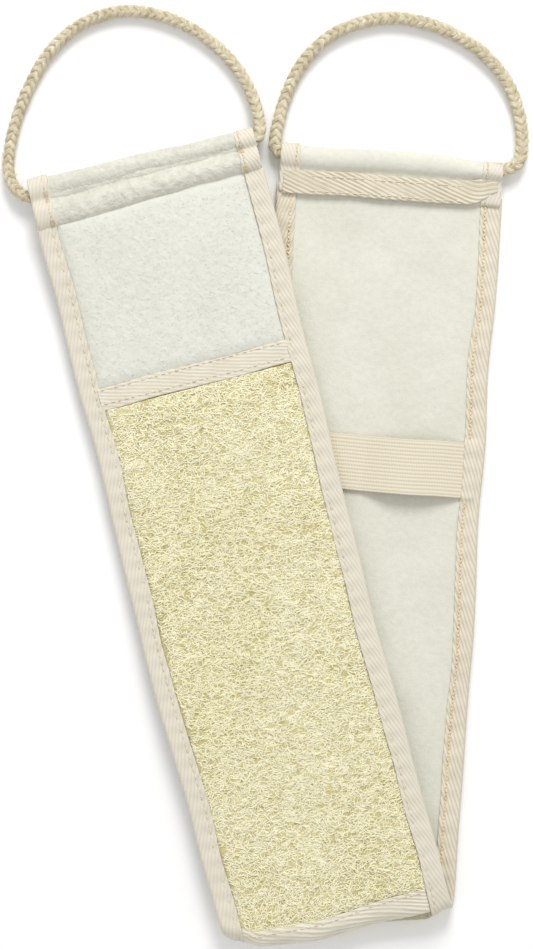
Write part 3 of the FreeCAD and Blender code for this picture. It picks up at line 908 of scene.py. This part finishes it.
def hem_section(side):
    """The hem's outline as (along, height), round the rope's tunnel, starting at the far end. The front
    hem has two ridges on its face. Also gives each point's distance round the outline."""
    on_roll = lambda angle: (TUNNEL_AT + HEM_RADIUS * math.cos(angle),
                             TUNNEL_HEIGHT + HEM_RADIUS * math.sin(angle))
    roll = [on_roll(angle) for angle in np.linspace(0, 1.2, 12)]
    face = [(377.9, 2.95), (376.8, 3.0), (375.9, 2.7), (375.1, 2.0), (374.4, 1.2), (373.7, 0.95),
            (373.1, 1.3), (372.4, 2.3), (371.4, 3.3), (369.8, 4.1), (367.6, 4.4), (365.4, 4.3),
            (363.6, 3.8), (362.2, 3.0), (361.2, 2.0), (360.5, 1.2), (360.1, 0.6)]
    back = [(359.6, 0.0), (359.6, -1.5), (359.6, -3.0), (359.8, -3.9), (360.8, -4.2), (363.0, -4.2),
            (365.5, -4.2), (368.0, -4.25), (370.0, -4.4), (371.3, -4.8)]
    under = [on_roll(angle) for angle in np.linspace(math.pi + 0.62, 2 * math.pi - 0.12, 20)]
    if side < 0:
        face = [(along, min(height, 2.9)) for along, height in face]
    outline = np.array(roll + face + back + under)
    closed = np.concatenate([outline, outline[:1]])
    run = np.concatenate([[0], np.cumsum(np.hypot(*np.diff(closed, axis=0).T))])
    even = np.linspace(0, run[-1], 97)[:-1]
    return np.stack([np.interp(even, run, closed[:, k]) for k in range(2)], 1), even


def outward_of(outline):
    """The directions out of a closed outline, as (along, height)."""
    return unit(np.stack([np.gradient(outline[:, 1]), -np.gradient(outline[:, 0])], -1))


def hem_reach(side, along, across):
    """How much further out the hem lies than its plain outline: the roll is slacker on one side, and the
    line where the hem begins isn't quite square."""
    if side > 0:
        share = smooth((across + 56) / 112)
        roll, start = 4.6 - 3.0 * share, 0.4 + 2.4 * share
    else:
        roll, start = 0.6 - 3.0 * smooth((across - 18) / 38), 0.0
    return roll * smooth((along - 371.0) / 8.0) + start * smooth((371.0 - along) / 8.0)


def hem_growth(side, outline, place, across, limit):
    """How far the terry stands off the hem's plain outline: its swell, its pile and the gathers of its
    seam, pressed flat at the two ends."""
    rim = 1 - 0.5 * np.exp(-(limit - np.abs(across)) / 0.5)
    swell = 0.28 * noise(across, place, 12.0, 71 + side)
    tuft = 0.2 * noise(across, place, 1.1, 72) + 0.1 * noise(across, place, 2.9, 73)
    tuft = tuft * np.where(outline[:, 1] < -1.0, 0.3, 1.0)
    gather = 0.3 * np.sin(across * 2 * math.pi / 7.1 + 2 * noise(across, 0, 15, 74))
    gather = gather * np.exp(-((outline[:, 0] - 367.0) / 3.0) ** 2)
    return (swell + tuft + gather) * rim - (1 - rim) * 1.2


def hem(name, side):
    """The terry end turned over to the back, with the rope's tunnel through it."""
    outline, place = hem_section(side)
    limit = float(half_width(side * TUNNEL_AT)) - 1.2
    offset = outline - [TUNNEL_AT, TUNNEL_HEIGHT]
    angle = np.arctan2(offset[:, 1], offset[:, 0])
    normal = outward_of(outline)
    across = np.linspace(-limit, limit, 190)[:, None]
    grow = hem_growth(side, outline, place, across, limit)
    bow = 0.5 * noise(across, 0, 30.0, 75 + side)
    along = outline[:, 0] + normal[:, 0] * grow + bow + hem_reach(side, outline[:, 0], across)
    height = outline[:, 1] + normal[:, 1] * grow
    inside = np.linspace(limit - 0.2, 0.2 - limit, 8)[:, None]
    tunnel_along = TUNNEL_AT + TUNNEL_RADIUS * np.cos(angle) + 0 * inside
    tunnel_height = TUNNEL_HEIGHT + TUNNEL_RADIUS * np.sin(angle) + 0 * inside
    all_along = np.concatenate([along, tunnel_along])
    all_across = np.concatenate([across, inside]) + 0 * all_along
    points = strap(side * all_along, all_across, np.concatenate([height, tunnel_height]))
    faces = grid_faces(*all_along.shape, wrap_rows=True, wrap_columns=True)
    turned = np.where(outline[:, 1] < -1.0, 1, 0)
    made = make_mesh(name, points, faces, pairs(all_across, all_along), [HEM_TERRY, BRUSHED],
                     np.tile(turned, len(all_along)))
    return follow(made, side)


def cuff_surface(side, edge, distance, grow, pick=None):
    """Points on the edge tape that goes over the hem's end, at a distance in from its outer rim."""
    outline = hem_section(side)[0]
    normal = outward_of(outline)
    if pick is not None:
        outline, normal = outline[pick], normal[pick]
    limit = float(half_width(side * TUNNEL_AT)) - 0.6
    over_tape = smooth((-outline[:, 1] - 3.4) / 0.6) * smooth((372.5 - outline[:, 0]) / 1.5)
    grow = grow + 0.6 * over_tape * (grow > 0.1)
    across = edge * (limit - distance)
    along = outline[:, 0] + normal[:, 0] * grow + hem_reach(side, outline[:, 0], across)
    height = outline[:, 1] + normal[:, 1] * grow
    return strap(side * along, across, height)


def cuff(name, side, edge):
    """The edge tape where it goes on over the hem's end and round it, leaving the rope's mouth open."""
    place = hem_section(side)[1]
    rows = [(9.7, -0.3), (9.5, 0.35)]
    rows += [(distance, 0.62) for distance in np.linspace(9.2, 1.2, 16)]
    rows += [(0.7, 0.5), (0.25, 0.2), (0.0, -0.3), (0.0, -0.8), (0.3, -1.1), (1.5, -1.1)]
    distance, base = np.array(rows).T[:, :, None]
    lift = 0.07 * ribs(place, distance, 9)
    press = 0.22 * np.exp(-((distance - STITCH_INSET) / 0.7) ** 2)
    rumple = 0.3 * noise(place, distance, 6.0, 91 + side + edge)
    grow = base + (base > 0.4) * (lift - press + rumple)
    wander = 0.4 * noise(place, 0, 9.0, 93 + side + edge)
    points = cuff_surface(side, edge, distance + wander * (distance > 5), grow)
    faces = grid_faces(*grow.shape, wrap_columns=True)
    made = make_mesh(name, points, faces, pairs(distance, place), BINDING)
    solid = made.modifiers.new("thickness", "SOLIDIFY")
    solid.thickness = 0.2 * MM
    solid.offset = 0
    return follow(made, side)


def cuff_stitches(name, side, edge):
    """The edge's lockstitch where it goes over the hem."""
    count = len(hem_section(side)[0])
    grow = np.array([0.2, 0.75, 0.8, 0.75, 0.2])
    centres = []
    for start in range(0, count - 2, 3):
        pick = np.array([start, start, start + 1, start + 2, start + 2]) % count
        centres.append(cuff_surface(side, edge, STITCH_INSET, grow, pick)[None])
    return stitched(name, centres, side, radius=0.25)


def cuff_tacks(name, side, edge):
    """Two dense tacks on a cuff, one at each end of the hem's ridge."""
    outline = hem_section(side)[0]
    face = outline[:, 1] > 0
    distance = np.linspace(6.6, 9.0, 9)
    centres = []
    for at in (374.0, 361.5):
        nearest = int(np.argmin(np.abs(outline[:, 0] - at) + 50 * ~face))
        for step in range(-4, 5):
            pick = np.full(9, (nearest + step) % len(outline))
            grow = 0.85 + 0.15 * np.cos(np.arange(9) * 2.1 + step)
            centres.append(cuff_surface(side, edge, distance, grow, pick)[None])
    return stitched(name, centres, side, radius=0.22, material=TACK)


def elastic(name):
    """The ribbed elastic band, sewn down at the left and arched over the hand's way through."""
    half = ELASTIC_WIDTH / 2
    section = rounded_section(-half, half, -ELASTIC, 0.0, 0.5, 0.22)
    top = section[:, 1] < -ELASTIC / 2
    rib = 0.14 * np.abs(np.sin(section[:, 0] * math.pi / ELASTIC_PITCH))
    across = np.linspace(-49.5, 49.5, 150)[:, None]
    middle, reach = sum(ARCH) / 2, (ARCH[1] - ARCH[0]) / 2
    arch = ARCH_RISE * np.clip(1 - ((across - middle) / (reach + 2)) ** 2, 0, 1) ** 1.5
    flat = 0.05 + 0.25 * (noise(across, section[None, :, 0], 12.0, 81) + 1) * smooth((across + 49) / 9)
    tall = BACK - flat * smooth((44 - across) / 9) - arch + section[None, :, 1] - np.where(top, rib, 0)
    wander = 0.35 * noise(across, 0, 17.0, 82) + 0.4 * np.sin(across / 21)
    along = ELASTIC_AT + section[None, :, 0] + wander
    made = swept(name, along, across, tall, pairs(across, section[:, 0]), WEBBING)
    return follow(made, -1)


# ---- floor, light, camera ----
CAMERA = (-0.0008, 0.0292, 1.292)
WORLD_LIGHT = 0.66
LAMPS = [("key", (0.2, 1.6, 1.4), 0.8, 28.0), ("fill", (-0.4, -0.9, 2.0), 1.8, 4.5)]


def camera():
    """A long lens straight above the strap."""
    data = bpy.data.cameras.new("camera")
    data.lens = 100
    data.sensor_width = 36
    made = bpy.data.objects.new("camera", data)
    made.location = CAMERA
    bpy.context.scene.collection.objects.link(made)
    bpy.context.scene.camera = made


def plain_floor():
    """A pale floor."""
    material = bpy.data.materials.new("floor")
    material.use_nodes = True
    shader = material.node_tree.nodes["Principled BSDF"]
    shader.inputs["Base Color"].default_value = (0.97, 0.97, 0.97, 1)
    shader.inputs["Roughness"].default_value = 0.9
    bpy.ops.mesh.primitive_plane_add(size=8)
    floor = bpy.context.object
    floor.name = "floor"
    floor.data.materials.append(material)
    floor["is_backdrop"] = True


def soft_light():
    """White light from all round, a key lamp from beyond the strap's far end and a weak fill."""
    world = bpy.data.worlds.new("studio")
    world.use_nodes = True
    background = world.node_tree.nodes["Background"]
    background.inputs["Color"].default_value = (1.0, 1.0, 1.0, 1)
    background.inputs["Strength"].default_value = WORLD_LIGHT
    bpy.context.scene.world = world
    for name, place, size, power in LAMPS:
        light = bpy.data.lights.new(name, "AREA")
        light.size = size
        light.energy = power
        lamp = bpy.data.objects.new(name, light)
        lamp.location = place
        x, y, z = place
        lamp.rotation_euler = (math.atan2(math.hypot(x, y), z), 0, math.atan2(-y, -x) - math.pi / 2)
        bpy.context.scene.collection.objects.link(lamp)


# ---- the sub-parts of a half ----
def loofah_pad(half, side):
    """A half's loofah pad, from the fold or the centre tape to the cross tape, with its fibres."""
    if side > 0:
        first = lambda across: centre_tape_edge(across) - 0.4
    else:
        first = lambda across: np.minimum(0.4 - CENTRE_TAPE / 2, fold_start(across))
    made = pad(half + "_loofah", side, first, side * PAD_END, loofah_surface, 0.75, LOOFAH,
               LOOFAH_TOP)
    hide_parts(half + "_loofah_pad", half + "_loofah_fold")
    fibres(half + "_loofah_fibres", side, LOOFAH_FIBRES[side], 100 + side)


def terry_pad(half, side):
    """A half's terry pad, from the cross tape to the hem, with its loops."""
    last = side * (HEM_START + 3.6)
    made = pad(half + "_terry", side, side * TERRY_START, last, terry_surface, 0.6, TERRY)
    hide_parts(half + "_terry_pad")
    loops(half + "_terry_loops", side, TERRY_LOOPS[side], 110 + side)


def back_cloth(half, side):
    """A half's backing. The rear one lies on the floor and also shows the cloth round the fold."""
    made = backing(half + "_back", side)
    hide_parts(half + "_backing", *(["fold_backing"] if side < 0 else []))


def edge_tapes(half, side):
    """A half's two edge bindings, with their stitches. The rear ones also go round the fold."""
    material, relief = (BINDING, 0.08) if side > 0 else (REAR_BINDING, 0.13)
    for edge_name, edge in EDGES:
        name = half + "_" + edge_name
        tape = binding(name + "_edge", side, edge, material, relief)
        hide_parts(name + "_binding", *(["fold_" + edge_name + "_binding"] if side < 0 else []))
        edge_stitches(name + "_edge_stitches", side, edge)
        chain_stitches(name + "_chain", side, edge)


def cross_tape(half, side):
    """The tape over the seam between loofah and terry, with its two rows of stitches."""
    tape = cross_band(half + "_cross", side, CROSS_TAPE_AT, CROSS_TAPE, 1.15, 2.0, LIP - 1.5, TWILL, 0.12,
                      51 + side, 16.0)
    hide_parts(half + "_cross_tape")
    rows = (CROSS_TAPE_AT - 2.7, CROSS_TAPE_AT + 4.6)
    cross_stitches(half + "_cross_stitches", side, rows, 2.05, 1, LIP)


def cuffs(half, side):
    """The edge tape's two ends, over the hem."""
    for edge_name, edge in EDGES:
        name = half + "_" + edge_name + "_cuff"
        cuff(name, side, edge)
        cuff_stitches(name + "_stitches", side, edge)
        cuff_tacks(name + "_stitches_tacks", side, edge)


def end_hem(half, side):
    """A half's hem and the tape over its raw edge. The rear tape turns up at its right end."""
    made = hem(half + "_end_hem", side)
    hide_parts(half + "_hem")
    start, end = HEM_TAPE
    turned = 7.0 if side < 0 else 0.0
    tape = cross_band(half + "_end_tape", side, (start + end) / 2, end - start, -6.0, -4.25, 2.6, HEM_TWILL,
                      0.14, 55 + side, -22.0, turned)
    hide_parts(half + "_hem_tape")
    cross_stitches(half + "_end_tape_stitches", side, (start + 1.4, end - 2.8), -6.1, -1, 16.0)


def middle_tape(half, side):
    """A half's share of the tape over the seam between the loofah pads."""
    tape = centre_tape(half + "_middle_tape", side)
    if side < 0:
        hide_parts("centre_tape")
    else:
        centre_stitches("middle_tape_stitches")


def loofah_lip():
    """The rear pad's end where it shows on the front half, below the centre tape. Its loofah colours are
    darkened as painted shade, where it turns under at the fold.
    """
    last = 0.4 - CENTRE_TAPE / 2
    first = lambda across: np.minimum(fold_start(across), last)
    pad("rear_loofah_lip", 1, first, last, loofah_surface, 0.75, SHADED_LOOFAH, LOOFAH_TOP, 0.2)


# ---- the whole ----
camera()
rope("front_rope", FRONT_ROUTE, "front_handle", "front_handle_rope", 0.91)
rope("rear_rope", REAR_ROUTE, "rear_handle", "rear_handle_rope", 0.97)
plain_floor()
soft_light()
bpy.context.scene.view_settings.view_transform = "Standard"
for half, side in HALVES:
    loofah_pad(half, side)
    terry_pad(half, side)
    back_cloth(half, side)
    edge_tapes(half, side)
    cross_tape(half, side)
    cuffs(half, side)
    end_hem(half, side)
    middle_tape(half, side)
loofah_lip()
band = elastic("hand_band")
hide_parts("elastic_hand_strap")

shown_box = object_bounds()
sizes = {"cad": [list(corner) for corner in cad_box], "shown": [list(corner) for corner in shown_box]}
